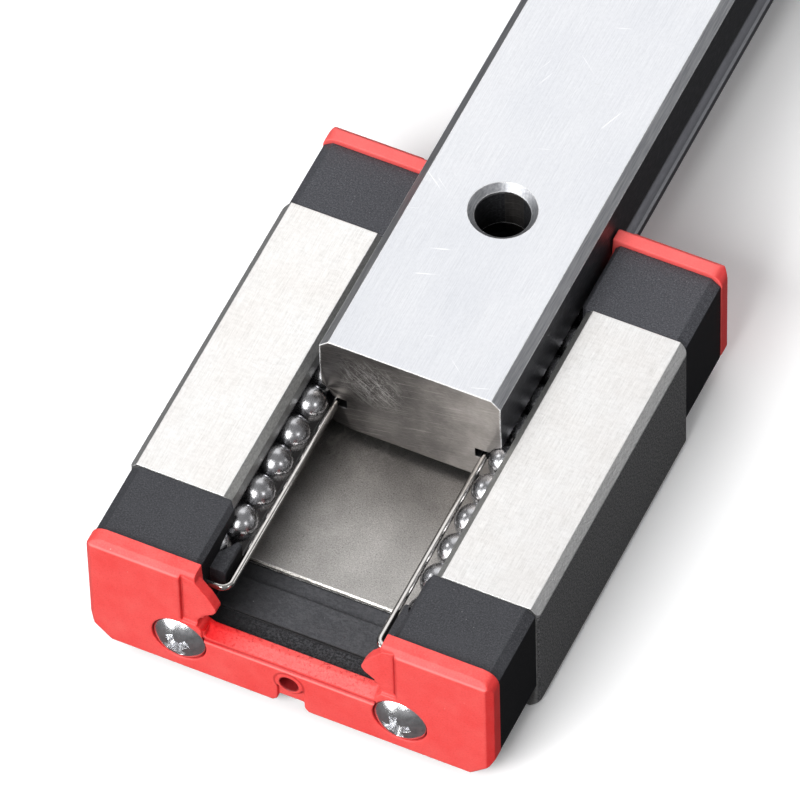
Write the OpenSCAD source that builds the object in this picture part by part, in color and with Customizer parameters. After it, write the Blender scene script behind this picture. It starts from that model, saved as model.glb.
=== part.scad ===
// Miniature profile-rail guide: short wide carriage with four ball turnarounds,
// retaining wires and wiping end seals, entering a length of its rail.
// The carriage lies on its mounting face (z = 0) with the rail above it.
// +X across the carriage, +Y along the rail, +Z from the mounting face to the rail's base.
// Left is -X, right +X, front -Y, rear +Y.
// Origin: centre of the four mounting threads, on the mounting face. Millimetres.

/* [Carriage block] */
// Width of the steel block across the rail
block_w = 27; // [26.6:0.1:28]
// Length of the steel block along the rail
block_len = 21.7; // [21.6:0.05:21.8]
// Height of the two legs above the mounting face
block_h = 10; // [9.8:0.05:10.2]
// Height of the floor of the channel between the legs
channel_floor = 4.4; // [4.2:0.05:4.6]
// Chamfer along the long edges of the mounting face
base_chamfer = 0.65; // [0.3:0.05:0.9]
// Chamfer on the outer top edges of the legs, seen from the end
leg_chamfer = 0.5; // [0.2:0.05:0.7]
// Radius on the vertical corners of the block
corner_r = 0.35; // [0.1:0.05:0.5]

/* [Mounting threads] */
// Distance between the mounting threads across the carriage
mount_x = 20; // [19:0.1:20.4]
// Distance between the mounting threads along the carriage
mount_y = 15; // [14:0.1:16]
// Wall diameter of the mounting threads (M3 core)
mount_d = 2.5; // [2.3:0.05:2.8]
// Full depth of the mounting threads
mount_depth = 3.5; // [3:0.1:4]

/* [Rail] */
// Width of the rail
rail_w = 12; // [11.9:0.02:12]
// Height of the rail
rail_h = 8; // [7.8:0.1:8.4]
// Height of the rail's bolt-head face above the mounting face
rail_z = 5; // [5:0.02:5.06]
// Length of the rail
rail_len = 75; // [65:5:100]
// Where the rail's near end stands along Y
rail_start = 0.1; // [-1:0.1:1]
// Distance between the rail's bolt holes
rail_pitch = 25; // [24:0.5:25]
// First bolt hole, from the rail's near end
rail_first = 13.4; // [8:0.1:14]
// Diameter of the rail's bolt holes
rail_hole_d = 3.5; // [3.2:0.1:3.8]
// Diameter of the rail's counterbores
rail_cbore_d = 6; // [5.5:0.1:6.4]
// Depth of the rail's counterbores
rail_cbore_h = 4.5; // [4:0.1:4.6]

/* [Balls and raceways] */
// Diameter of the balls
ball_d = 2.381; // [2.34:0.001:2.39]
// Distance from ball to ball in a row
ball_pitch = 2.43; // [2.42:0.01:2.43]
// Distance of the loaded rows from the centre line
load_x = 6.4; // [6.38:0.01:6.44]
// Height of the ball rows above the mounting face
row_z = 7.3; // [7.25:0.01:7.35]
// Radius of the turnaround, from its centre to the balls' path
turn_r = 2.4; // [2.4:0.01:2.43]
// Radius of the raceway grooves in rail and block
groove_r = 1.24; // [1.23:0.005:1.26]
// Radius of the turnaround channels; the return bores are slightly wider
channel_r = 1.27; // [1.25:0.01:1.3]
// Where the middle ball of the left loaded row stands along Y
left_phase = -0.73; // [-1.2:0.01:1.2]
// Where the middle ball of the right loaded row stands along Y
right_phase = 0.15; // [-1.2:0.01:1.2]

/* [End caps] */
// Length of an end cap along the rail
cap_len = 5.25; // [5.2:0.05:5.6]
// Width of the end caps
cap_w = 26.6; // [26.4:0.1:26.8]
// Height of the end caps' underside above the mounting face
cap_bottom = 0.8; // [0.5:0.05:1]
// Height of the end caps' top above the mounting face
cap_top = 9.9; // [9.7:0.05:10]
// Half width of the end caps' opening for the rail
cap_wall_x = 6.35; // [6.2:0.05:6.4]

/* [End seals] */
// Width of the end seals
seal_w = 26.8; // [26.2:0.1:26.9]
// Thickness of the end seals
seal_t = 1.25; // [1.15:0.05:1.5]
// Height of the end seals' top above the mounting face
seal_top = 10.3; // [10.2:0.05:10.5]
// Gap between the seal lips and the rail
lip_gap = 0.06; // [0.04:0.01:0.1]
// Diameter of the grease port
port_d = 1.2; // [1:0.1:1.6]
// Height of the grease port above the mounting face
port_z = 3.1; // [3:0.05:3.2]

/* [Screws and wires] */
// Distance of the end screws from the centre line
screw_x = 7.3; // [7.25:0.05:7.45]
// Height of the end screws above the mounting face
screw_z = 3.5; // [3.45:0.05:3.6]
// Diameter of the end screws' heads
head_d = 3.45; // [3.3:0.05:3.6]
// Diameter of the ball-retaining wires
wire_d = 0.45; // [0.4:0.01:0.5]
// Distance of the ball-retaining wires from the centre line
wire_x = 4.93; // [4.9:0.01:4.95]

/* [Hidden] */
$fn = 64;
over = 0.5;                             // overshoot of cutting tools

row_balls = 9;                          // balls in a straight row
turn_balls = 3;                         // balls in a turnaround
row_half = row_balls / 2 * ball_pitch;  // half length of a straight row
turn_x = load_x + turn_r;               // centre of the turnarounds
return_x = load_x + 2 * turn_r;         // return rows

// distances of the end faces from the middle of the carriage
cap_y0 = block_len / 2;                 // face where cap meets block
cap_y1 = cap_y0 + cap_len;              // face where seal meets cap
seal_y1 = cap_y1 + seal_t;              // outer face of the seal
seat_y = cap_y1 + 0.45;                 // seat under the screw heads

screw_hole_r = 1.1;                     // screw holes in caps and seals
guide_r = 2.3;                          // return guide's outer radius
guide_h = 3.52;                         // return guide's height
wire_bend = 0.6;                        // bend radius of the wires
wire_turn_y = cap_y0 + 3.8;             // where the wires start to bend
wire_out_y = wire_turn_y + wire_bend;   // where their ends point outwards

block_color = [0.78, 0.79, 0.8];
cap_color = [0.16, 0.16, 0.17];
guide_color = [0.3, 0.3, 0.32];
seal_color = [0.93, 0.32, 0.3];
screw_color = [0.8, 0.81, 0.83];
wire_color = [0.85, 0.85, 0.86];
rail_color = [0.74, 0.76, 0.8];
ball_color = [0.86, 0.87, 0.88];

// ---------- helpers ----------
// a round bar along Y whose radius goes from r0 at y0 to r1 at y1
module flare(x, z, r0, r1, y0, y1) {
    translate([x, y0, z]) rotate([-90, 0, 0]) cylinder(r1 = r0, r2 = r1, h = y1 - y0);
}
module rod(x, z, r, y0, y1) { flare(x, z, r, r, y0, y1); }
// extrudes an X-Z profile from y0 to y1
module along(y0, y1) {
    translate([0, y1, 0]) rotate([90, 0, 0]) linear_extrude(height = y1 - y0) children();
}
// a box from its lowest to its highest corner
module slab(low, high) { translate(low) cube(high - low); }
module to_left() { mirror([1, 0, 0]) children(); }
module to_rear() { mirror([0, 1, 0]) children(); }
module both_x() {
    children();
    to_left() children();
}
module both_y() {
    children();
    to_rear() children();
}
// a closed outline from its right half, mirrored at x = 0
module symmetric(half) {
    polygon(concat(half, [for (k = [len(half) - 1 : -1 : 0]) [-half[k][0], half[k][1]]]));
}

// ---------- carriage block ----------
module block_profile() {
    half_w = block_w / 2;
    // X, Z of the right half, from the mounting face over the leg to the channel floor
    symmetric([
        [half_w - base_chamfer, 0], [half_w, base_chamfer],
        [half_w, block_h - 0.63], [half_w - leg_chamfer, block_h],
        [7.2, block_h], [6.75, block_h - 0.45], [6.7, 8.3], [6.17, 6.2],
        [6.17, channel_floor + 0.25], [5.92, channel_floor]]);
}
// what a rounded vertical corner takes off the rear right edge
module corner_tool() {
    x = block_w / 2;
    y = cap_y0;
    difference() {
        slab([x - corner_r, y - corner_r, -over], [x + over, y + over, block_h + over]);
        translate([x - corner_r, y - corner_r, -2 * over])
            cylinder(r = corner_r, h = block_h + 4 * over);
    }
}
module mount_thread() {
    tip_d = 0.2;
    tip_h = 0.6;
    mouth_d = mount_d + 0.7;
    mouth_h = 0.35;
    translate([mount_x / 2, mount_y / 2, 0]) {
        translate([0, 0, -over]) cylinder(d = mount_d, h = mount_depth + over);
        translate([0, 0, mount_depth]) cylinder(d1 = mount_d, d2 = tip_d, h = tip_h);
        translate([0, 0, -0.01]) cylinder(d1 = mouth_d, d2 = mount_d, h = mouth_h);
    }
}
module carriage_block() color(block_color) difference() {
    bevel = [12.3, 0.26, 0.26];
    return_bore_r = channel_r + 0.03;
    screw_bore_r = 1.0;
    screw_bore_depth = 4.4;
    along(-cap_y0, cap_y0) block_profile();
    // bevels where the channel floor meets the end faces
    both_y() translate([0, -cap_y0, channel_floor]) rotate([45, 0, 0]) cube(bevel, center = true);
    both_x() {
        rod(load_x, row_z, groove_r, -cap_y0 - over, cap_y0 + over);
        rod(return_x, row_z, return_bore_r, -cap_y0 - over, cap_y0 + over);
        both_y() {
            mount_thread();
            corner_tool();
            rod(screw_x, screw_z, screw_bore_r, -cap_y0 - over, -cap_y0 + screw_bore_depth);
        }
    }
}

// ---------- end caps (built at the front) ----------
module cap_outline() {
    half_w = cap_w / 2;
    // X, Z of the right half, from the underside over the side to the opening's floor
    symmetric([
        [11.95, cap_bottom], [half_w, cap_bottom + 1.5],
        [half_w, cap_top - 0.5], [half_w - 0.6, cap_top],
        [6.65, cap_top], [cap_wall_x, cap_top - 0.35], [cap_wall_x, 4.15]]);
}
// section of the balls' path, seen from the turnaround's axis
module channel_section() { translate([turn_r, 0]) circle(r = channel_r, $fn = 48); }
// torus channel in which the balls turn back, with straight leads to the block
module turn_channel() {
    translate([turn_x, -row_half, row_z]) rotate_extrude() channel_section();
    for (x = [load_x, return_x]) rod(x, row_z, channel_r, -row_half - 0.01, -cap_y0 + over);
}
module end_cap() {
    overlap_x = cap_wall_x + 0.1;       // rib and tongues reach into the side walls
    tongue_r = 1.18;
    guide_fit = 0.02;                   // clearance around the return guide
    wire_hole_d = wire_d + 0.1;
    groove_y = -cap_y0 - 0.5;           // bottom of the grease grooves
    groove_z = 1.2;                     // lower edge of the grease grooves
    groove_x = [9.1, 9.9];              // sides of the upright groove
    difference() {
        union() {
            along(-cap_y1, -cap_y0) cap_outline();
            // raised rib across the floor of the opening
            slab([-overlap_x, -14.5, 3.9], [overlap_x, -12.06, 4.36]);
            // deflector tongues that lift the balls off the rail
            both_x() intersection() {
                slab([wire_x + 0.42, -wire_turn_y, 5.5], [overlap_x, -12.3, 8.05]);
                rod(load_x, row_z, tongue_r, -16, -11);
            }
        }
        both_x() {
            turn_channel();
            // pocket that holds the return guide
            translate([turn_x, -row_half, row_z - guide_h / 2 - guide_fit])
                cylinder(r = guide_r + guide_fit, h = guide_h + 2 * guide_fit);
            // bevel where the inner wall meets the block
            translate([cap_wall_x, -cap_y0, cap_top]) rotate([0, 0, 45])
                cube([0.5, 0.5, 4], center = true);
            rod(screw_x, screw_z, screw_hole_r, -cap_y1 - over, -cap_y0 + over);
            // hole for the retaining wire's end
            translate([5.45, -wire_out_y, row_z]) rotate([0, 90, 0])
                cylinder(d = wire_hole_d, h = 1.8);
            // grease grooves on the face towards the block: across, then up
            slab([0, groove_y, groove_z], [groove_x[1], -cap_y0 + over, 2.0]);
            slab([groove_x[0], groove_y, groove_z], [groove_x[1], -cap_y0 + over, row_z - 1.3]);
        }
        // grease port and the groove below it
        rod(0, port_z, port_d / 2, -cap_y1 - over, -cap_y0 + over);
        slab([-0.4, groove_y, groove_z], [0.4, -cap_y0 + over, port_z]);
    }
}
module front_end_cap() color(cap_color) end_cap();
module rear_end_cap() color(cap_color) to_rear() end_cap();

// ---------- return guides: the inner half of each turnaround ----------
// built at the front right
module return_guide() difference() {
    translate([turn_x, -row_half, row_z]) rotate_extrude() difference() {
        translate([0, -guide_h / 2]) square([guide_r, guide_h]);
        channel_section();
    }
    // cut flat where the guide meets the block
    slab([turn_x - 4, -cap_y0, row_z - 3], [turn_x + 4, -cap_y0 + 4, row_z + 3]);
}
module front_right_return_guide() color(guide_color) return_guide();
module front_left_return_guide() color(guide_color) to_left() return_guide();
module rear_right_return_guide() color(guide_color) to_rear() return_guide();
module rear_left_return_guide() color(guide_color) to_rear() to_left() return_guide();

// ---------- end seals (built at the front) ----------
// right half of the opening for the rail
module lip_half() {
    lip_x = rail_w / 2 + lip_gap;
    // X, Z up the lip, from the centre line to above the seal
    polygon([
        [0, rail_z - lip_gap], [5.35, rail_z - lip_gap], [5.7, rail_z + 0.12],
        [lip_x - 0.02, rail_z + 0.5], [lip_x, 6.05], [5.75, 6.3], [5.4, 6.62], [5.22, 6.97],
        [4.82, 7.0], [4.68, 7.12], [4.68, 7.32], [4.8, 7.54], [5.2, 7.64],
        [5.4, 7.98], [5.75, 8.3], [lip_x, 8.56], [lip_x + 0.02, 9.6],
        [lip_x + 0.1, seal_top + over], [0, seal_top + over]]);
}
module seal_outline() {
    half_w = seal_w / 2;
    top_r = 1.0;                        // radius of the upper corners
    difference() {
        union() {
            // X, Z of the right half, upwards, with a step for the rounded corner
            symmetric([
                [11.9, cap_bottom + 0.05], [half_w - 0.25, cap_bottom + 1.25],
                [half_w, cap_bottom + 1.75], [half_w, seal_top - top_r],
                [half_w - top_r, seal_top - top_r], [half_w - top_r, seal_top]]);
            both_x() translate([half_w - top_r, seal_top - top_r]) circle(r = top_r);
        }
        // notch under the grease port
        polygon([[-1.3, cap_bottom - 0.1], [1.35, cap_bottom - 0.1],
            [0.98, 1.15], [0.95, 1.47], [-0.8, 1.47], [-0.83, 1.15]]);
        both_x() lip_half();
    }
}
// envelope that bevels the outer face's edges: plan and side profiles
module seal_bevels() {
    bevel = 0.42;
    half_w = seal_w / 2;
    face_y = -seal_y1;
    intersection() {
        linear_extrude(height = 14) symmetric([
            [half_w - bevel, face_y], [half_w, face_y + bevel],
            [half_w + 1, face_y + bevel], [half_w + 1, 0]]);
        translate([-20, 0, 0]) rotate([90, 0, 90]) linear_extrude(height = 40) polygon([
            [face_y, 1.0], [face_y + 0.15, 0], [0, 0], [0, 12],
            [face_y + bevel, 12], [face_y + bevel, seal_top], [face_y, seal_top - bevel]]);
    }
}
module end_seal() {
    face_y = -seal_y1;
    port_r = port_d / 2;
    head_fit = 0.07;                    // clearance around the screw heads
    collar_wall = 0.27;
    intersection() {
        difference() {
            along(face_y, -cap_y1) seal_outline();
            // the band of the lips stands back from the outer face
            both_x() slab([3.0, face_y - over, 5.62], [7.06, face_y + 0.22, seal_top + over]);
            // slope and step under the rail's bolt-head face
            translate([0, face_y, 4.36]) rotate([34, 0, 0])
                translate([-5.6, -2, 0]) cube([11.2, 5, 3]);
            slab([-5.75, face_y - over, 4.22], [5.75, face_y + 0.19, 6]);
            // shallow channel from the grease port down to the notch
            slab([-0.8, face_y - over, 1.3], [0.95, face_y + 0.2, port_z]);
            both_x() {
                rod(screw_x, screw_z, screw_hole_r, face_y - over, -cap_y1 + over);
                rod(screw_x, screw_z, head_d / 2 + head_fit, face_y - over, -seat_y);
            }
            rod(0, port_z, port_r, face_y - over, -cap_y1 + over);
        }
        seal_bevels();
    }
    // raised collar of the grease port
    difference() {
        rod(0, port_z, port_r + collar_wall, face_y - 0.03, face_y + 0.5);
        rod(0, port_z, port_r, face_y - 0.1, -cap_y1);
    }
}
module front_end_seal() color(seal_color) end_seal();
module rear_end_seal() color(seal_color) to_rear() end_seal();

// ---------- end screws (built at the front right) ----------
// turn: how far the cross recess is turned from upright
module end_screw(turn) {
    top_y = -seal_y1 - 0.58;            // crown of the head
    head_r = head_d / 2;
    dome_h = 0.7;
    dome_r = (head_r * head_r + dome_h * dome_h) / (2 * dome_h);
    shank_r = 0.98;
    shank_depth = 4.0;                  // reach into the block
    slot_half = 0.27;                   // half width of the cross's arms
    arm = 1.5;
    recess_y = top_y + 1.2;
    difference() {
        union() {
            intersection() {
                rod(screw_x, screw_z, head_r, top_y, -seat_y);
                translate([screw_x, top_y + dome_r, screw_z]) sphere(r = dome_r, $fn = 96);
            }
            rod(screw_x, screw_z, shank_r, -seat_y - 0.1, -cap_y0 + shank_depth);
        }
        // cross recess, narrowing inwards
        intersection() {
            flare(screw_x, screw_z, 1.05, 0.5, top_y - 0.05, top_y + 0.95);
            translate([screw_x, 0, screw_z]) rotate([0, turn, 0]) {
                slab([-arm, top_y - over, -slot_half], [arm, recess_y, slot_half]);
                slab([-slot_half, top_y - over, -arm], [slot_half, recess_y, arm]);
                flare(0, 0, 0.56, 0.3, top_y - over, recess_y);
            }
        }
    }
}
module front_right_screw() color(screw_color) end_screw(turn = -16);
module front_left_screw() color(screw_color) to_left() end_screw(turn = 30);
module rear_right_screw() color(screw_color) to_rear() end_screw(turn = 50);
module rear_left_screw() color(screw_color) to_rear() to_left() end_screw(turn = 10);

// ---------- ball-retaining wires (built on the right) ----------
// bend and outward-pointing end at the front
module wire_end() {
    translate([wire_x + wire_bend, -wire_turn_y, row_z]) rotate([0, 0, 180])
        rotate_extrude(angle = 90) translate([wire_bend, 0]) circle(d = wire_d, $fn = 32);
    translate([wire_x + wire_bend, -wire_out_y, row_z]) rotate([0, 90, 0])
        cylinder(d = wire_d, h = 1.5, $fn = 32);
}
module retainer_wire() {
    rod(wire_x, row_z, wire_d / 2, -wire_turn_y, wire_turn_y);
    both_y() wire_end();
}
module right_retainer_wire() color(wire_color) retainer_wire();
module left_retainer_wire() color(wire_color) to_left() retainer_wire();

// ---------- rail ----------
module rail_profile() {
    half_w = rail_w / 2;
    base_z = rail_z + rail_h;
    head_chamfer = 0.5;                 // beside the bolt-head face
    foot_chamfer = 0.6;                 // beside the rail's base
    slot_x = 4.27;                      // inner end of the wire slot
    slot_z = 6.93;
    slot_h = 0.77;
    difference() {
        symmetric([
            [half_w - head_chamfer, rail_z], [half_w, rail_z + head_chamfer],
            [half_w, base_z - foot_chamfer], [half_w - foot_chamfer, base_z]]);
        both_x() {
            translate([load_x, row_z]) circle(r = groove_r);
            // clearance slot for the retaining wire
            translate([slot_x, slot_z]) square([load_x - slot_x, slot_h]);
        }
    }
}
// bolt hole with its counterbore, and a countersink at the rail's base
module rail_hole() {
    translate([0, 0, rail_z - over]) {
        cylinder(d = rail_hole_d, h = rail_h + 2 * over);
        cylinder(d = rail_cbore_d, h = rail_cbore_h + over);
    }
    translate([0, 0, rail_z + rail_h - 0.43])
        cylinder(d1 = rail_hole_d, d2 = rail_hole_d + 1.0, h = 0.5);
}
module rail() color(rail_color) difference() {
    rail_end = rail_start + rail_len;
    end_margin = 5;                     // no hole closer than this to the far end
    along(rail_start, rail_end) rail_profile();
    for (y = [rail_start + rail_first : rail_pitch : rail_end - end_margin])
        translate([0, y, 0]) rail_hole();
    // slight lead-in bevels beside the grooves, at both ends
    both_x() for (far = [0, 1])
        translate([rail_w / 2, rail_start + far * rail_len, 10.7]) mirror([0, far, 0])
            rotate([0, 20, 0]) rotate([0, 0, 8]) translate([0, -2, -7]) cube([3, 2, 7.2]);
}

// ---------- balls ----------
module ball(x, y) { translate([x, y, row_z]) sphere(d = ball_d); }
// a straight row whose middle ball stands at y
module ball_row(x, y) {
    reach = (row_balls - 1) / 2;
    for (k = [-reach : reach]) ball(x, y + k * ball_pitch);
}
// balls in a turnaround; side: -1 left, 1 right; end: -1 front, 1 rear;
// phase: place of the loaded row's middle ball along Y
module ball_turn(side, end, phase) {
    step = 180 / turn_balls;
    for (k = [0 : turn_balls - 1]) {
        angle = step * (k + 0.5 + phase / ball_pitch);
        ball(side * (turn_x - end * turn_r * cos(angle)), end * (row_half + turn_r * sin(angle)));
    }
}
module left_load_balls() color(ball_color) ball_row(-load_x, left_phase);
module left_return_balls() color(ball_color) ball_row(-return_x, -left_phase);
module rear_left_turn_balls() color(ball_color) ball_turn(-1, 1, left_phase);
module front_left_turn_balls() color(ball_color) ball_turn(-1, -1, left_phase);
module right_load_balls() color(ball_color) ball_row(load_x, right_phase);
module right_return_balls() color(ball_color) ball_row(return_x, -right_phase);
module rear_right_turn_balls() color(ball_color) ball_turn(1, 1, right_phase);
module front_right_turn_balls() color(ball_color) ball_turn(1, -1, right_phase);

carriage_block();
front_end_cap();
rear_end_cap();
front_end_seal();
rear_end_seal();
front_left_screw();
front_right_screw();
rear_left_screw();
rear_right_screw();
left_retainer_wire();
right_retainer_wire();
front_left_return_guide();
front_right_return_guide();
rear_left_return_guide();
rear_right_return_guide();
rail();
left_load_balls();
right_load_balls();
left_return_balls();
right_return_balls();
front_left_turn_balls();
front_right_turn_balls();
rear_left_turn_balls();
rear_right_turn_balls();
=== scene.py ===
# A linear guide: a carriage with end caps, red rubber seals, balls and screws, on a ground rail.
# The rail runs along y, x goes across it and z is up. The front is -y and the left is -x.
# Surface patterns, seal outlines and mask positions are in millimetres; the scene is in metres.
import bpy
import bmesh
import math
import random
from functools import cached_property
from mathutils import Matrix, Vector


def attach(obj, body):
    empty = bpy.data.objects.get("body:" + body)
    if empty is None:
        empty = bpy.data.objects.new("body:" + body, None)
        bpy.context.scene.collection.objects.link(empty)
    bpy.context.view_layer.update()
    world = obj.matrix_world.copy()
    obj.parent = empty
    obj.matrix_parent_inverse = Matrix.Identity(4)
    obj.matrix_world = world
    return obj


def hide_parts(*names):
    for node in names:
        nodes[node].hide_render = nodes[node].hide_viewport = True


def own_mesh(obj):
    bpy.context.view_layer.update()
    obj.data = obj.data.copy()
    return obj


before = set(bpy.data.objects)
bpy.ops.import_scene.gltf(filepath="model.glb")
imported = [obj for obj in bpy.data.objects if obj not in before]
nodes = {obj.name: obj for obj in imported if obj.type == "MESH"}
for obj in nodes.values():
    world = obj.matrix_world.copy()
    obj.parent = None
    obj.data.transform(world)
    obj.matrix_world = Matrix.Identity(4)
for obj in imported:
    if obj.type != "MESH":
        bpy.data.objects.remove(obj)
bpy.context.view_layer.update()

random.seed(7)
MM = 0.001


# ------------------------------------------------------------------ shader nodes
def fresh_tree(owner):
    """The emptied node tree of a material or a world."""
    owner.use_nodes = True
    owner.node_tree.nodes.clear()
    return owner.node_tree


def add_node(tree, kind, inputs=None, **settings):
    """Adds a shader node. An input is a plain value, a Value, or a node (its first output)."""
    node = tree.nodes.new("ShaderNode" + kind)
    for key, setting in settings.items():
        setattr(node, key, setting)
    for key, source in (inputs or {}).items():
        if isinstance(source, Value):
            tree.links.new(source.socket, node.inputs[key])
        elif isinstance(source, bpy.types.Node):
            tree.links.new(source.outputs[0], node.inputs[key])
        else:
            node.inputs[key].default_value = source
    return node


def add_value(tree, kind, inputs=None, output=0, **settings):
    """Adds a shader node and returns one of its outputs as a Value."""
    return Value(tree, add_node(tree, kind, inputs, **settings).outputs[output])


class Value:
    """An output in a node tree. Arithmetic and the methods below add nodes fed by it."""
    def __init__(self, tree, socket):
        self.tree = tree
        self.socket = socket

    def math(self, operation, *others):
        operands = dict(enumerate((self, *others)))
        return add_value(self.tree, "Math", operands, operation=operation)

    def __add__(self, other):
        return self.math("ADD", other)

    def __sub__(self, other):
        return self.math("SUBTRACT", other)

    def __rsub__(self, other):
        return add_value(self.tree, "Math", {0: other, 1: self}, operation="SUBTRACT")

    def __mul__(self, other):
        return self.math("MULTIPLY", other)

    def __abs__(self):
        return self.math("ABSOLUTE")

    def max(self, other):
        return self.math("MAXIMUM", other)

    def hypot(self, other):
        return (self * self + other * other).math("SQRT")

    def split(self):
        """The x, y and z of a vector."""
        node = add_node(self.tree, "SeparateXYZ", {0: self})
        return [Value(self.tree, socket) for socket in node.outputs]

    def fade(self, start, end, low=0.0, high=1.0):
        """Goes from low at start to high at end, clamped. The end may lie below the start."""
        limits = dict(enumerate((self, start, end, low, high)))
        return add_value(self.tree, "MapRange", limits, clamp=True)

    def ramp(self, *stops):
        """Colours along the value, from stops of (position, colour)."""
        node = add_node(self.tree, "ValToRGB", {0: self})
        elements = node.color_ramp.elements
        while len(elements) > 1:
            elements.remove(elements[-1])
        for index, (position, color) in enumerate(stops):
            element = elements.new(position) if index else elements[0]
            element.position = position
            element.color = (*color, 1)
        return Value(self.tree, node.outputs[0])

    def mix(self, color, by, mode="MIX"):
        """This colour where the mask `by` is 0, the other where it is 1."""
        if isinstance(color, tuple):
            color = (*color, 1)
        return add_value(self.tree, "Mix", {0: by, 6: self, 7: color}, output=2,
                         data_type="RGBA", blend_type=mode)

    def tint(self, color, by):
        """Multiplies by the other colour where the mask is 1."""
        return self.mix(color, by, mode="MULTIPLY")


class Surface:
    """A material in the making: patterns over the object's position, in mm."""
    def __init__(self, name):
        self.material = bpy.data.materials.new(name)
        self.tree = fresh_tree(self.material)
        place = self.add("TexCoord", output="Object")
        self.position = self.add("VectorMath", {0: place, "Scale": 1 / MM}, operation="SCALE")

    def add(self, kind, inputs=None, output=0, **settings):
        return add_value(self.tree, kind, inputs, output, **settings)

    @cached_property
    def normal(self):
        return self.add("NewGeometry", output="True Normal")

    def texture(self, place, scale, detail, rough, distortion):
        return self.add("TexNoise", {"Vector": place, "Scale": scale, "Detail": detail,
                                     "Roughness": rough, "Distortion": distortion})

    def noise(self, scale, detail, rough, stretch=(1, 1, 1), offset=(0, 0, 0),
              distortion=0.0, turn=0.0):
        """Noise; turn is an angle about z, taken before the stretch."""
        place = self.position
        if turn:
            place = self.add("Mapping", {"Vector": place, "Rotation": (0, 0, turn)})
        place = self.add("Mapping", {"Vector": place, "Scale": stretch, "Location": offset})
        return self.texture(place, scale, detail, rough, distortion)

    def streaks(self, angle, along, across, scale, detail, rough, offset, distortion=0.0):
        """Noise over x and z, scaled along and across a direction turned by angle."""
        x, _, z = self.position.split()
        cos, sin = math.cos(angle), math.sin(angle)
        place = self.add("CombineXYZ", {0: (x * cos + z * sin) * along,
                                        1: (z * cos - x * sin) * across, 2: offset})
        return self.texture(place, scale, detail, rough, distortion)

    def cells(self, scale):
        """Distance to the nearest of scattered points."""
        place = self.add("Mapping", {"Vector": self.position})
        return self.add("TexVoronoi", {"Vector": place, "Scale": scale}, output="Distance")

    def blend(self, first, second, by):
        """The first number where the mask is 0, the second where it is 1."""
        return self.add("Mix", {0: by, 2: first, 3: second}, data_type="FLOAT")

    def bevel(self, radius, samples=6):
        return self.add("Bevel", {"Radius": radius * MM}, samples=samples)

    def bump(self, height, depth, strength, normal=None):
        inputs = {"Strength": strength, "Distance": depth * MM, "Height": height}
        if normal is not None:
            inputs["Normal"] = normal
        return self.add("Bump", inputs)

    def edge(self, radius, samples=6):
        """1 on edges and 0 on flats, from how far the bevelled normal leaves the true one."""
        likeness = self.add("VectorMath", {0: self.bevel(radius, samples), 1: self.normal},
                            output="Value", operation="DOT_PRODUCT")
        return likeness.fade(0.90, 0.999, low=1.0, high=0.0)

    def crevice(self, distance, closed, clear):
        """1 deep in creases, 0 on open surfaces."""
        openness = self.add("AmbientOcclusion", {"Distance": distance * MM}, output="AO",
                            samples=8)
        return openness.fade(closed, clear, low=1.0, high=0.0)

    def finish(self, inputs):
        """Feeds the Principled shader and returns the material."""
        shader = add_node(self.tree, "BsdfPrincipled", inputs)
        add_node(self.tree, "OutputMaterial", {0: shader})
        return self.material


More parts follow.
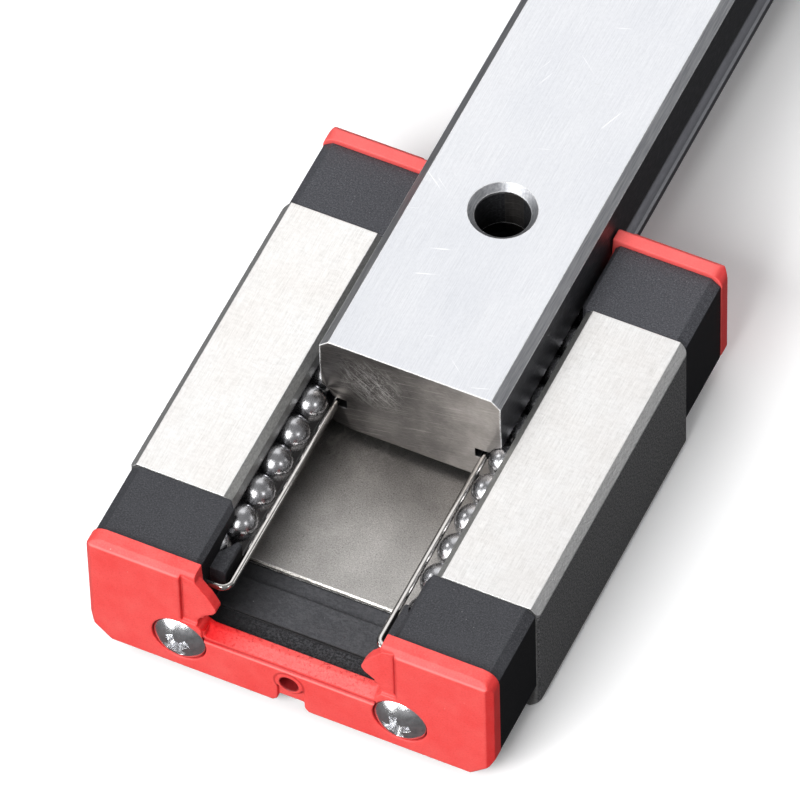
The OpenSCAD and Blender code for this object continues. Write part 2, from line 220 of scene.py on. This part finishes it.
# ------------------------------------------------------------------ materials
def block_steel():
    """Ground top and bottom, dark sides, satin channel floor, lighter chamfers."""
    mat = Surface("block_ground_steel")
    x, y, z = mat.position.split()
    _, facing_y, facing_z = mat.normal.split()
    across = abs(x)

    # regions
    top = facing_z.fade(0.9, 0.97) * z.fade(9.85, 9.95)
    ground = top.max(facing_z.fade(-0.9, -0.97) * z.fade(0.15, 0.05))
    channel = across.fade(6.0, 5.95)
    end_face = abs(facing_y).fade(0.8, 0.9)
    outer_chamfer = z.fade(9.2, 9.3) * across.fade(12.0, 12.1)
    inner_chamfer = z.fade(8.6, 8.7) * across.fade(9.0, 8.9)
    groove = across.fade(7.75, 7.7) * across.fade(5.95, 6.0)

    # ground faces: fine strokes along the block, faint cross strokes, soft mottling
    brush = mat.noise(scale=11, detail=3, rough=0.6, stretch=(1, 0.05, 1))
    fine_brush = mat.noise(scale=34, detail=2, rough=0.6, stretch=(1, 0.08, 1), offset=(3, 1, 0))
    cross = mat.noise(scale=5, detail=4, rough=0.65, stretch=(0.35, 1, 1), offset=(1, 6, 0),
                      distortion=0.6)
    strokes = brush * 0.4 + (fine_brush * 0.3 + cross * 0.3)
    cloud = mat.noise(scale=0.30, detail=4, rough=0.55)
    stains = mat.noise(scale=2.4, detail=5, rough=0.7, stretch=(1, 0.5, 1), offset=(4, 0, 0))
    ground_color = strokes.ramp((0.35, (0.69, 0.68, 0.66)), (0.5, (0.855, 0.845, 0.83)),
                                (0.62, (0.96, 0.955, 0.94)))
    ground_color = ground_color.tint((0.95, 0.925, 0.905), by=cloud.fade(0.35, 0.65, high=0.55))
    ground_color = ground_color.tint((0.905, 0.91, 0.92), by=x.fade(2.0, 11.0, high=0.9))
    ground_color = ground_color.mix((0.62, 0.60, 0.57), by=stains.fade(0.60, 0.74, high=0.30))

    # dark oxide skin of the sides
    grain = mat.noise(scale=8, detail=6, rough=0.78)
    pits = mat.cells(scale=6)
    side_color = grain.ramp((0.32, (0.050, 0.050, 0.052)), (0.48, (0.155, 0.155, 0.158)),
                            (0.60, (0.37, 0.37, 0.375)), (0.72, (0.62, 0.62, 0.62)))

    # satin channel floor, shaded towards the left and the rear, with pale smears at the left
    satin = mat.noise(scale=10, detail=6, rough=0.75)
    sand = mat.noise(scale=17, detail=4, rough=0.75, offset=(1, 2, 3))
    broad = mat.noise(scale=0.30, detail=3, rough=0.5, offset=(5, 2, 0))
    floor_color = (satin * 0.30 + (sand * 0.52 + broad * 0.18)).ramp(
        (0.38, (0.24, 0.232, 0.222)), (0.5, (0.42, 0.405, 0.388)), (0.61, (0.66, 0.64, 0.615)))
    wander_x = mat.noise(scale=0.5, detail=3, rough=0.5, offset=(0, 4, 0)) * 3.0
    wander_y = mat.noise(scale=0.5, detail=3, rough=0.5, offset=(7, 4, 0)) * 2.4
    shade = (x + wander_x).fade(0.6, -4.2).max((y + wander_y).fade(-1.6, 0.9))
    floor_color = floor_color.mix((0.10, 0.095, 0.09), by=shade * 0.54)
    smear = mat.noise(scale=1.3, detail=5, rough=0.7, stretch=(1, 0.6, 1), offset=(2, 8, 0),
                      distortion=1.2).fade(0.52, 0.66)
    smear = smear * (y.fade(-4.0, -1.0) * x.fade(1.5, -3.0))
    floor_color = floor_color.mix((0.70, 0.66, 0.61), by=smear * 0.28)

    # chamfers and end faces
    outer_color = mat.noise(scale=12, detail=5, rough=0.7, stretch=(1, 0.4, 1)).ramp(
        (0.3, (0.50, 0.50, 0.50)), (0.5, (0.66, 0.66, 0.655)), (0.7, (0.80, 0.80, 0.79)))
    inner_color = mat.noise(
        scale=12, detail=5, rough=0.7, stretch=(1, 0.4, 1), offset=(0, 3, 0)).ramp(
        (0.3, (0.26, 0.26, 0.255)), (0.5, (0.39, 0.39, 0.38)), (0.7, (0.54, 0.54, 0.52)))
    end_color = mat.noise(scale=7, detail=4, rough=0.6).ramp(
        (0.3, (0.30, 0.30, 0.30)), (0.7, (0.55, 0.55, 0.54)))

    color = side_color.mix(floor_color, by=channel)
    # painted shade: the ball grooves are darker, except on the end faces
    color = color.mix((0.20, 0.20, 0.205), by=groove * (1.0 - end_face))
    color = color.mix(outer_color, by=outer_chamfer)
    color = color.mix(inner_color, by=inner_chamfer)
    color = color.mix(end_color, by=end_face)

    # dark band where the channel floor meets the end face, with a glint at its upper edge
    nose = channel * abs(facing_y).fade(0.5, 0.6) * z.fade(4.0, 4.1)
    color = color.mix((0.030, 0.029, 0.028), by=nose)
    ragged = mat.noise(scale=3, detail=5, rough=0.7) * 0.10
    glint = nose * (z + ragged).fade(4.34, 4.37)
    glint_color = mat.noise(scale=9, detail=4, rough=0.7, offset=(3, 0, 0)).ramp(
        (0.40, (0.16, 0.155, 0.145)), (0.56, (0.55, 0.53, 0.50)))
    color = color.mix(glint_color, by=glint * x.fade(-6.0, 1.0, low=0.35))
    color = color.mix(ground_color, by=ground)

    # worn edges, painted bright as a highlight
    edge = mat.edge(radius=0.09)
    wear_and_highlight = mat.noise(scale=3.5, detail=5, rough=0.65).fade(0.36, 0.6, low=0.15)
    color = color.mix((0.93, 0.93, 0.92), by=edge * wear_and_highlight * 0.8)

    metal = mat.blend(mat.blend(0.70, 0.95, by=channel), 1.0, by=ground.max(outer_chamfer))
    rough = mat.blend(mat.blend(0.58, satin.fade(0.3, 0.7, low=0.25, high=0.38), by=channel),
                      strokes.fade(0.35, 0.65, low=0.36, high=0.46), by=ground)
    height = mat.blend(grain + pits * 0.6, strokes * 0.45, by=ground)
    height = mat.blend(height, (satin + sand) * 0.6, by=channel * (1.0 - ground))
    return mat.finish({
        "Base Color": color,
        "Metallic": metal * (1.0 - edge * wear_and_highlight * 0.5),
        "Roughness": mat.blend(rough, 0.42, by=outer_chamfer.max(inner_chamfer)),
        "Normal": mat.bump(height, depth=0.028, strength=0.8, normal=mat.bevel(0.08))})


def rail_steel():
    """Ground flats, darker flanks, sawn ends with scuffs."""
    mat = Surface("rail_ground_steel")
    x, _, z = mat.position.split()
    _, facing_y, facing_z = mat.normal.split()
    across = abs(x)
    flat = abs(facing_z).fade(0.9, 0.97)
    end_face = abs(facing_y).fade(0.9, 0.97)

    # ground flats: lines along the rail, mottling and spots
    lines = mat.noise(scale=15, detail=3, rough=0.65, stretch=(1, 0.018, 1))
    fine_lines = mat.noise(scale=42, detail=2, rough=0.6, stretch=(1, 0.03, 1), offset=(7, 0, 0))
    cross = mat.noise(scale=6, detail=5, rough=0.7, stretch=(1, 0.6, 1))
    cloud = mat.noise(scale=0.25, detail=3, rough=0.5, stretch=(1, 0.4, 1), offset=(3, 3, 3))
    strokes = lines * 0.42 + (fine_lines * 0.28 + cross * 0.30)
    flat_color = strokes.ramp((0.34, (0.60, 0.61, 0.635)), (0.5, (0.72, 0.73, 0.755)),
                              (0.66, (0.84, 0.85, 0.87)))
    flat_color = flat_color.tint((0.90, 0.91, 0.93), by=cloud.fade(0.35, 0.65, high=0.5))
    spots = mat.noise(scale=1.8, detail=6, rough=0.7, offset=(9, 4, 2)).fade(0.62, 0.70)
    flat_color = flat_color.mix((0.45, 0.44, 0.43), by=spots * 0.16)

    # sparse scratches: angle about z, pattern offset
    for turn, shift in ((0.35, 3.0), (-0.9, 11.0), (1.25, 23.0)):
        line = mat.noise(scale=5, detail=2, rough=0.5, stretch=(1, 0.035, 1),
                         offset=(shift, shift * 0.7, 0), distortion=0.15, turn=turn)
        patch = mat.noise(scale=0.35, detail=2, rough=0.5, offset=(shift, 1.3, 0))
        scratch = line.fade(0.700, 0.725) * patch.fade(0.50, 0.62)
        flat_color = flat_color.mix((0.97, 0.97, 0.98), by=scratch * 0.75)

    # flanks with a painted highlight below the groove, and the top chamfers
    grain = mat.noise(scale=7, detail=5, rough=0.65, stretch=(1, 0.25, 1))
    side_color = grain.ramp((0.3, (0.040, 0.041, 0.046)), (0.55, (0.085, 0.087, 0.096)),
                            (0.75, (0.17, 0.173, 0.188)))
    side_color = side_color.mix((0.26, 0.265, 0.29), by=z.fade(6.95, 6.9) * 0.6)
    chamfer = z.fade(12.35, 12.4) * (1.0 - flat)
    chamfer_color = mat.noise(scale=9, detail=4, rough=0.6, stretch=(1, 0.06, 1)).ramp(
        (0.3, (0.21, 0.215, 0.23)), (0.7, (0.39, 0.395, 0.41)))

    # sawn end face, with painted light making it lighter to the right
    blotch = mat.noise(scale=0.42, detail=4, rough=0.5, offset=(2.2, 0, 1.4), distortion=0.3)
    saw = mat.noise(scale=7, detail=5, rough=0.7, stretch=(0.5, 1, 1.2), offset=(1, 2, 0),
                    distortion=0.4)
    end_color = (x.fade(0.5, 6.0) * 0.30 + (blotch * 0.42 + saw * 0.28)).ramp(
        (0.25, (0.060, 0.056, 0.055)), (0.40, (0.13, 0.122, 0.118)),
        (0.58, (0.265, 0.250, 0.240)), (0.78, (0.45, 0.43, 0.41)))

    # streaky scuff at the upper left of the end face
    patch = abs(x + 2.7).fade(2.4, 0.4) * abs(z - 10.3).fade(2.4, 0.5)
    broad = mat.streaks(angle=-0.85, along=0.45, across=2.2, scale=2.6, detail=6, rough=0.75,
                        offset=4.0, distortion=0.4).fade(0.50, 0.66)
    thin = mat.streaks(angle=-0.60, along=0.12, across=2.6, scale=3.4, detail=3, rough=0.6,
                       offset=9.0).fade(0.58, 0.66)
    flecks = mat.noise(scale=6.5, detail=5, rough=0.8, offset=(2, 0, 5)).fade(0.54, 0.62)
    scuff = patch * broad.max(thin * 0.8).max(flecks * 0.8)
    end_color = end_color.mix((0.74, 0.725, 0.71), by=scuff * 0.88)

    # painted shade in a dark spot round the mouth of the left groove, with pale rays of painted
    # highlight
    groove_x = x + 5.6
    groove_z = z - 8.4
    radius = groove_x.hypot(groove_z)
    waves = (groove_z.math("ARCTAN2", groove_x) * 7.0).math("SINE")
    rays = waves.fade(-0.5, 1.0) * radius.fade(1.9, 0.6)
    end_color = end_color.mix((0.045, 0.040, 0.038), by=radius.fade(2.2, 0.5) * 0.55)
    end_color = end_color.mix((0.66, 0.62, 0.58), by=rays * 0.42)
    fine = mat.streaks(angle=0.25, along=0.10, across=3.0, scale=3.0, detail=3, rough=0.6,
                       offset=2.0).fade(0.56, 0.68)
    end_color = end_color.mix((0.70, 0.67, 0.64), by=fine * 0.16)

    color = side_color.mix(chamfer_color, by=chamfer)
    color = color.mix(flat_color, by=flat)
    color = color.mix(end_color, by=end_face)

    # the wire slots are painted dark as painted shade
    slot = (across.fade(5.45, 5.35) * across.fade(4.2, 4.3)
            * (z.fade(8.25, 8.15) * z.fade(6.35, 6.45)))
    slot = slot * (1.0 - end_face)
    color = color.mix((0.012, 0.012, 0.012), by=slot * 0.9)

    # upper edges painted bright as a highlight, at full strength where worn
    edge_strength = 1.0
    edge = mat.edge(radius=0.16, samples=8) * z.fade(8.4, 8.8)
    wear_and_highlight = mat.noise(scale=3, detail=5, rough=0.6).fade(0.36, 0.56, low=0.45)
    color = color.mix((1.0, 1.0, 1.0), by=edge * wear_and_highlight * edge_strength)

    rough = mat.blend(0.45, strokes.fade(0.35, 0.65, low=0.34, high=0.44), by=flat)
    height = mat.blend(grain * 0.8, strokes * 0.45, by=flat)
    return mat.finish({
        "Base Color": color,
        "Metallic": mat.blend(0.85, 1.0, by=flat) * (1.0 - edge * 0.65),
        "Roughness": mat.blend(rough, saw.fade(0.3, 0.7, low=0.30, high=0.46), by=end_face),
        "Normal": mat.bump(height, depth=0.02, strength=0.8, normal=mat.bevel(0.10))})


def cap_plastic():
    """Charcoal plastic with a fine grain, dusty in the trough between the legs."""
    mat = Surface("cap_charcoal_plastic")
    x, y, z = mat.position.split()
    facing_x, _, _ = mat.normal.split()
    grain = mat.noise(scale=10, detail=6, rough=0.78)
    dust = mat.noise(scale=26, detail=3, rough=0.7, offset=(5, 5, 5))
    cloud = mat.noise(scale=0.5, detail=3, rough=0.5)
    color = (grain * 0.6 + dust * 0.4).ramp(
        (0.38, (0.010, 0.0105, 0.013)), (0.50, (0.034, 0.035, 0.041)),
        (0.62, (0.098, 0.100, 0.110)))
    # painted light: the rear caps are lighter
    color = color.tint((1.45, 1.45, 1.46), by=y.fade(6.0, 9.0))
    color = color.mix((0.055, 0.057, 0.065), by=cloud.fade(0.4, 0.7, high=0.25))

    # trough: dusty scale, a dark broken band and line at the front, and painted shadow darkening
    # it towards the left
    trough = z.fade(5.0, 4.6) * abs(x).fade(6.6, 6.2)
    scale = mat.noise(scale=3.4, detail=6, rough=0.78, stretch=(0.8, 1.2, 1), offset=(2, 2, 2),
                      distortion=0.25).fade(0.44, 0.62)
    color = color.mix((0.115, 0.116, 0.124), by=trough * mat.blend(0.18, 0.62, by=scale))
    breaks = mat.noise(scale=6, detail=5, rough=0.8, offset=(8, 1, 0))
    band = trough * y.fade(-14.48, -14.60) * breaks.fade(0.44, 0.56, low=0.95, high=0.0)
    color = color.mix((0.006, 0.006, 0.007), by=band)
    line = trough * abs(y + 14.52).fade(0.09, 0.02)
    color = color.mix((0.004, 0.004, 0.004), by=line * 0.9)
    color = color.mix((0.006, 0.006, 0.007), by=trough * x.fade(-1.6, -5.4) * 0.85)

    # sides painted dark as painted shade, pale specks, edges painted lighter as a highlight
    side = abs(facing_x).fade(0.80, 0.97)
    color = color.mix((0.0035, 0.0035, 0.004), by=side * 0.80)
    clusters = mat.noise(scale=0.9, detail=2, rough=0.5).fade(0.46, 0.56)
    specks = mat.cells(scale=1.6).fade(0.07, 0.03) * clusters
    color = color.mix((0.32, 0.32, 0.33), by=specks * 0.6)
    color = color.mix((0.14, 0.14, 0.15), by=mat.edge(radius=0.07) * 0.18)

    height = grain + dust * 0.5 + trough * (scale * 0.9)
    return mat.finish({
        "Base Color": color,
        "Metallic": 0.0,
        "Roughness": grain.fade(0.3, 0.7, low=0.44, high=0.64),
        "Specular IOR Level": mat.blend(0.38, 0.10, by=side),
        "Normal": mat.bump(height, depth=0.020, strength=0.8, normal=mat.bevel(0.12))})


def seal_rubber():
    """Red rubber, with painted shade in its creases and hollows and painted highlight lines on
    its edges.
    """
    mat = Surface("seal_red_rubber")
    x, y, z = mat.position.split()
    facing_x, _, facing_z = mat.normal.split()
    across, along = abs(x), abs(y)
    grain = mat.noise(scale=9, detail=5, rough=0.65)
    cloud = mat.noise(scale=0.6, detail=4, rough=0.55)
    color = cloud.ramp((0.3, (0.97, 0.080, 0.074)), (0.55, (1.0, 0.104, 0.096)),
                       (0.75, (1.0, 0.128, 0.117)))
    color = color.mix((1.0, 0.18, 0.165), by=grain.fade(0.52, 0.70, high=0.45))
    color = color.mix((0.74, 0.030, 0.030), by=grain.fade(0.47, 0.30, high=0.45))
    # paler on the rear seal
    color = color.mix((1.0, 0.20, 0.19), by=y.fade(10.0, 12.0, high=0.40))
    clusters = mat.noise(scale=0.8, detail=2, rough=0.5, offset=(6, 0, 0)).fade(0.52, 0.6)
    dust = mat.cells(scale=1.1).fade(0.06, 0.03) * clusters
    color = color.mix((0.95, 0.55, 0.50), by=dust * 0.5)

    # top of the ridge: coarse dark grains, and painted shade deepening the red towards its left
    # end
    ridge = across.fade(5.9, 5.7) * z.fade(5.75, 5.6) * facing_z.fade(0.25, 0.5)
    grains = mat.noise(scale=4.6, detail=5, rough=0.85, offset=(3, 7, 0)).fade(0.49, 0.38)
    color = color.mix((0.42, 0.012, 0.014), by=ridge * grains * 0.80)
    color = color.mix((0.66, 0.006, 0.010), by=ridge * x.fade(-2.0, -5.2) * 0.80)

    # painted shade in the crease beside the lips
    crease = abs(across - 7.03).fade(0.22, 0.03) * (z.fade(5.65, 5.9) * z.fade(9.9, 9.6))
    crease = crease * (along.fade(17.04, 17.10) * x.fade(-1.0, 1.0, low=0.45))
    color = color.mix((0.46, 0.008, 0.012), by=crease * 0.75)

    # painted shade in the crease under the ridge
    step_depth = along.fade(16.96, 17.04) * along.fade(17.27, 17.20)
    step = abs(z - 4.29).fade(0.18, 0.04) * (across.fade(6.0, 5.8) * step_depth)
    color = color.mix((0.42, 0.008, 0.012), by=step * 0.70)

    # painted shade on the upper bevel and the side bevel, painted highlight lines on the ridge's
    # outer edge and under the upper bevel
    ridge_highlight = (abs(z - 4.19).fade(0.10, 0.02)
                 * (across.fade(5.8, 5.6) * along.fade(17.22, 17.29)))
    bevel_highlight = (abs(z - 9.90).fade(0.10, 0.02)
                 * (across.fade(7.1, 7.3) * along.fade(17.10, 17.22)))
    upper_bevel = abs(facing_z - 0.70).fade(0.25, 0.12) * abs(z - 10.13).fade(0.22, 0.12)
    color = color.tint((0.86, 0.80, 0.80), by=upper_bevel * 0.8)
    color = color.mix((1.0, 0.27, 0.25), by=ridge_highlight.max(bevel_highlight) * 0.55)
    color = color.tint((0.92, 0.42, 0.45), by=facing_x.fade(0.40, 0.65) * 0.9)

    # grease port: painted shade inside it and in a thin ring round its collar
    radius = x.hypot(z - 3.1)
    color = color.mix((0.17, 0.003, 0.005), by=radius.fade(0.70, 0.61) * 0.92)
    color = color.mix((0.40, 0.008, 0.012), by=abs(radius - 0.97).fade(0.12, 0.02) * 0.60)
    # painted shade in creases and hollows, from ambient occlusion
    creases = mat.crevice(distance=0.6, closed=0.30, clear=0.92)
    color = color.mix((0.36, 0.006, 0.009), by=creases * 0.70)

    dull_end = ridge * x.fade(-1.6, -5.0)
    return mat.finish({
        "Base Color": color,
        "Roughness": grain.fade(0.3, 0.7, low=0.42, high=0.58),
        "Specular IOR Level": mat.blend(0.35, 0.02, by=dull_end),
        "Subsurface Weight": 0.04,
        "Subsurface Radius": (0.0006, 0.0002, 0.0001),
        "Subsurface Scale": 1.0,
        "Normal": mat.bump(grain, depth=0.020, strength=0.7)})


def bright_steel(name, base, rough, scale, depth, bevel, dark):
    """Bright steel: rough is its lowest and highest roughness, dark its darkest tone."""
    mat = Surface(name)
    mottle = mat.noise(scale=scale, detail=4, rough=0.6)
    brush = mat.noise(scale=scale * 5, detail=3, rough=0.6, stretch=(1, 0.3, 1))
    color = mottle.ramp((0.3, tuple(channel * dark for channel in base)), (0.6, base),
                        (0.8, tuple(min(1, channel * 1.1) for channel in base)))
    return mat.finish({
        "Base Color": color,
        "Metallic": 1.0,
        "Roughness": brush.fade(0.3, 0.7, *rough),
        "Normal": mat.bump(brush, depth, strength=0.5, normal=mat.bevel(bevel, samples=4))})


def assign(thing, material):
    thing.data.materials.clear()
    thing.data.materials.append(material)


BLOCK = block_steel()
RAIL = rail_steel()
CAP = cap_plastic()
SEAL = seal_rubber()
BALL = bright_steel("ball_polished_steel", base=(0.50, 0.50, 0.515), rough=(0.20, 0.32),
                    scale=2.5, depth=0.004, bevel=0.03, dark=0.82)
WIRE = bright_steel("wire_drawn_steel", base=(0.60, 0.58, 0.56), rough=(0.12, 0.18),
                    scale=2.0, depth=0.001, bevel=0.02, dark=0.88)
SCREW = bright_steel("screw_plated_steel", base=(0.93, 0.935, 0.95), rough=(0.14, 0.26),
                     scale=3.0, depth=0.006, bevel=0.04, dark=0.72)

WHOLE_NAMES = {"carriage_block": BLOCK, "rail": RAIL}
# the first word found in a piece's name decides
NAME_WORDS = (("cap", CAP), ("seal", SEAL), ("balls", BALL), ("wire", WIRE), ("screw", SCREW))


def material_for(name):
    """The material of a CAD piece; pieces with no known word are cap plastic."""
    if name in WHOLE_NAMES:
        return WHOLE_NAMES[name]
    return next((material for word, material in NAME_WORDS if word in name), CAP)


for name, piece in nodes.items():
    assign(piece, material_for(name))


# ------------------------------------------------------------------ moulded rubber seals
LIP_Y = (-17.17, -16.44)
# right lip of the front seal, (x, z)
LIP = [
    (6.95, 9.95), (6.15, 9.72), (5.84, 9.30), (5.56, 8.92), (5.28, 8.58), (5.02, 8.12),
    (4.80, 7.66), (4.80, 7.40), (4.98, 7.10), (5.30, 6.88), (5.60, 6.66), (5.84, 6.32),
    (6.06, 5.92), (6.95, 5.85),
]


def add_object(name, data):
    thing = bpy.data.objects.new(name, data)
    bpy.context.scene.collection.objects.link(thing)
    return thing


def moulded(source, name, voxel, keep_faces):
    """A rounded rubber moulding of a closed mesh in mm: remeshed, smoothed, then lightened."""
    rough_form = add_object(name + "_src", source)
    remesh = rough_form.modifiers.new("remesh", "REMESH")
    remesh.mode = "VOXEL"
    remesh.voxel_size = voxel
    remesh.adaptivity = 0.0
    smooth = rough_form.modifiers.new("smooth", "SMOOTH")
    smooth.factor = 0.5
    smooth.iterations = 4
    lighten = rough_form.modifiers.new("lighten", "DECIMATE")
    lighten.ratio = keep_faces
    bpy.context.view_layer.update()
    depsgraph = bpy.context.evaluated_depsgraph_get()
    mesh = bpy.data.meshes.new_from_object(rough_form.evaluated_get(depsgraph))
    bpy.data.objects.remove(rough_form, do_unlink=True)
    mesh.transform(Matrix.Scale(MM, 4))
    mesh.name = name
    for face in mesh.polygons:
        face.use_smooth = True
    moulding = add_object(name, mesh)
    assign(moulding, SEAL)
    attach(moulding, "carriage")
    return moulding


def prism(outline, y_start, y_end):
    """Closed prism in mm: an (x, z) outline between two planes across y."""
    shape = bmesh.new()
    start = [shape.verts.new((x, y_start, z)) for x, z in outline]
    end = [shape.verts.new((x, y_end, z)) for x, z in outline]
    shape.faces.new(start)
    shape.faces.new(end[::-1])
    count = len(outline)
    for i in range(count):
        j = (i + 1) % count
        shape.faces.new((start[i], end[i], end[j], start[j]))
    bmesh.ops.recalc_face_normals(shape, faces=shape.faces)
    mesh = bpy.data.meshes.new("prism")
    shape.to_mesh(mesh)
    shape.free()
    return mesh


for end in ("front", "rear"):
    cad_mesh = nodes[f"{end}_end_seal"].data.copy()
    cad_mesh.transform(Matrix.Scale(1 / MM, 4))
    seal = moulded(cad_mesh, f"{end}_seal_moulding", voxel=0.062, keep_faces=0.25)
    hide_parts(f"{end}_end_seal")

# lips of the front seal, relaxed with the rail clear of them
for side, sign in (("left", -1), ("right", 1)):
    outline = [(sign * x, z) for x, z in LIP]
    lip = moulded(prism(outline, *LIP_Y), f"front_{side}_lip", voxel=0.05, keep_faces=0.35)
    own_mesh(lip)

# ------------------------------------------------------------------ studio
PALE = (0.95, 0.95, 0.955, 1)   # the tone of the far floor and of what lies past it
FLOOR_TONE = 1.12
FLOOR_HALF = 6.0
FLOOR_Z = -0.00002
LAMP_DISTANCE = 1.0
# name, direction from the origin, size, surface radiance
LAMPS = (
    ("back_softbox", (-0.25, 0.60, 0.76), (0.95, 0.75), 1.15),
    ("front_softbox", (-0.16, -0.75, 0.64), (0.64, 0.54), 10.7),
    ("right_lamp", (0.78, -0.26, 0.57), (0.20, 0.20), 5.0),
    ("left_lamp", (-0.80, -0.04, 0.59), (0.18, 0.18), 6.0),
    ("front_left_card", (-0.68, -0.68, 0.24), (0.66, 0.46), 5.0),
    ("back_right_card", (0.80, 0.52, 0.30), (0.40, 0.30), 1.5),
    ("rear_card", (0.15, 0.94, 0.28), (0.50, 0.34), 1.6),
)


def floor_material():
    """Pale to the camera, dark to every other ray so that it bounces little light."""
    material = bpy.data.materials.new("pale_floor")
    tree = fresh_tree(material)
    place = add_value(tree, "TexCoord", output="Object")
    mottle = add_value(tree, "TexNoise", {"Vector": place, "Scale": 9.0, "Detail": 3.0})
    tone = mottle.ramp((0.3, (FLOOR_TONE * 0.985,) * 3), (0.7, (FLOOR_TONE,) * 3))
    lit = add_node(tree, "BsdfDiffuse", {0: tone})
    # far out the floor keeps the pale tone, out of the lamps' reach
    distance = add_value(tree, "VectorMath", {0: place}, output="Value", operation="LENGTH")
    even = add_node(tree, "Emission", {0: PALE})
    seen = add_node(tree, "MixShader", {0: distance.fade(0.16, 0.45), 1: lit, 2: even})
    bounce = add_node(tree, "BsdfDiffuse", {0: (0.11, 0.11, 0.112, 1)})
    camera_ray = add_value(tree, "LightPath", output="Is Camera Ray")
    surface = add_node(tree, "MixShader", {0: camera_ray, 1: bounce, 2: seen})
    add_node(tree, "OutputMaterial", {0: surface})
    return material


def build_floor():
    shape = bmesh.new()
    corners = ((-1, -1), (1, -1), (1, 1), (-1, 1))
    shape.faces.new([shape.verts.new((x * FLOOR_HALF, y * FLOOR_HALF, FLOOR_Z))
                     for x, y in corners])
    mesh = bpy.data.meshes.new("floor")
    shape.to_mesh(mesh)
    shape.free()
    floor = add_object("floor", mesh)
    mesh.materials.append(floor_material())


def build_world():
    """Grey surroundings, lighter overhead; the camera sees the pale tone instead."""
    world = bpy.data.worlds.new("studio")
    bpy.context.scene.world = world
    tree = fresh_tree(world)
    _, _, z = add_value(tree, "TexCoord", output="Generated").split()
    sky = z.ramp((0.0, (0.20, 0.20, 0.205)), (0.35, (0.26, 0.26, 0.265)),
                 (1.0, (0.36, 0.36, 0.365)))
    around = add_node(tree, "Background", {"Color": sky, "Strength": 1.0})
    pale = add_node(tree, "Background", {"Color": PALE})
    camera_ray = add_value(tree, "LightPath", output="Is Camera Ray")
    surface = add_node(tree, "MixShader", {0: camera_ray, 1: around, 2: pale})
    add_node(tree, "OutputWorld", {0: surface})


def build_lamp(name, direction, size, radiance):
    """A rectangular area lamp facing the origin."""
    light = bpy.data.lights.new(name, "AREA")
    light.shape = "RECTANGLE"
    light.size, light.size_y = size
    light.energy = radiance * math.pi * size[0] * size[1]
    lamp = add_object(name, light)
    outward = Vector(direction).normalized()
    lamp.location = outward * LAMP_DISTANCE
    lamp.rotation_euler = (-outward).to_track_quat("-Z", "Y").to_euler()
    # the front left card shows in reflections only
    lamp.visible_diffuse = name != "front_left_card"


def build_camera():
    """A long lens at the front right, looking down at the guide."""
    camera = bpy.data.cameras.new("camera")
    camera.sensor_width = 36.0
    camera.lens = 498.5775
    camera.clip_start = 0.01
    camera.clip_end = 50.0
    holder = add_object("camera", camera)
    right = Vector((0.90575881, 0.4233653, -0.01904747))
    up = Vector((-0.32988833, 0.7325602, 0.59542359))
    place = Vector((0.176680, -0.355251, 0.545266))
    turned = Matrix((right, up, right.cross(up))).transposed().to_4x4()
    turned.translation = place
    holder.matrix_world = turned
    bpy.context.scene.camera = holder


build_floor()
build_world()
for lamp_row in LAMPS:
    build_lamp(*lamp_row)
build_camera()
bpy.context.scene.view_settings.view_transform = "Standard"
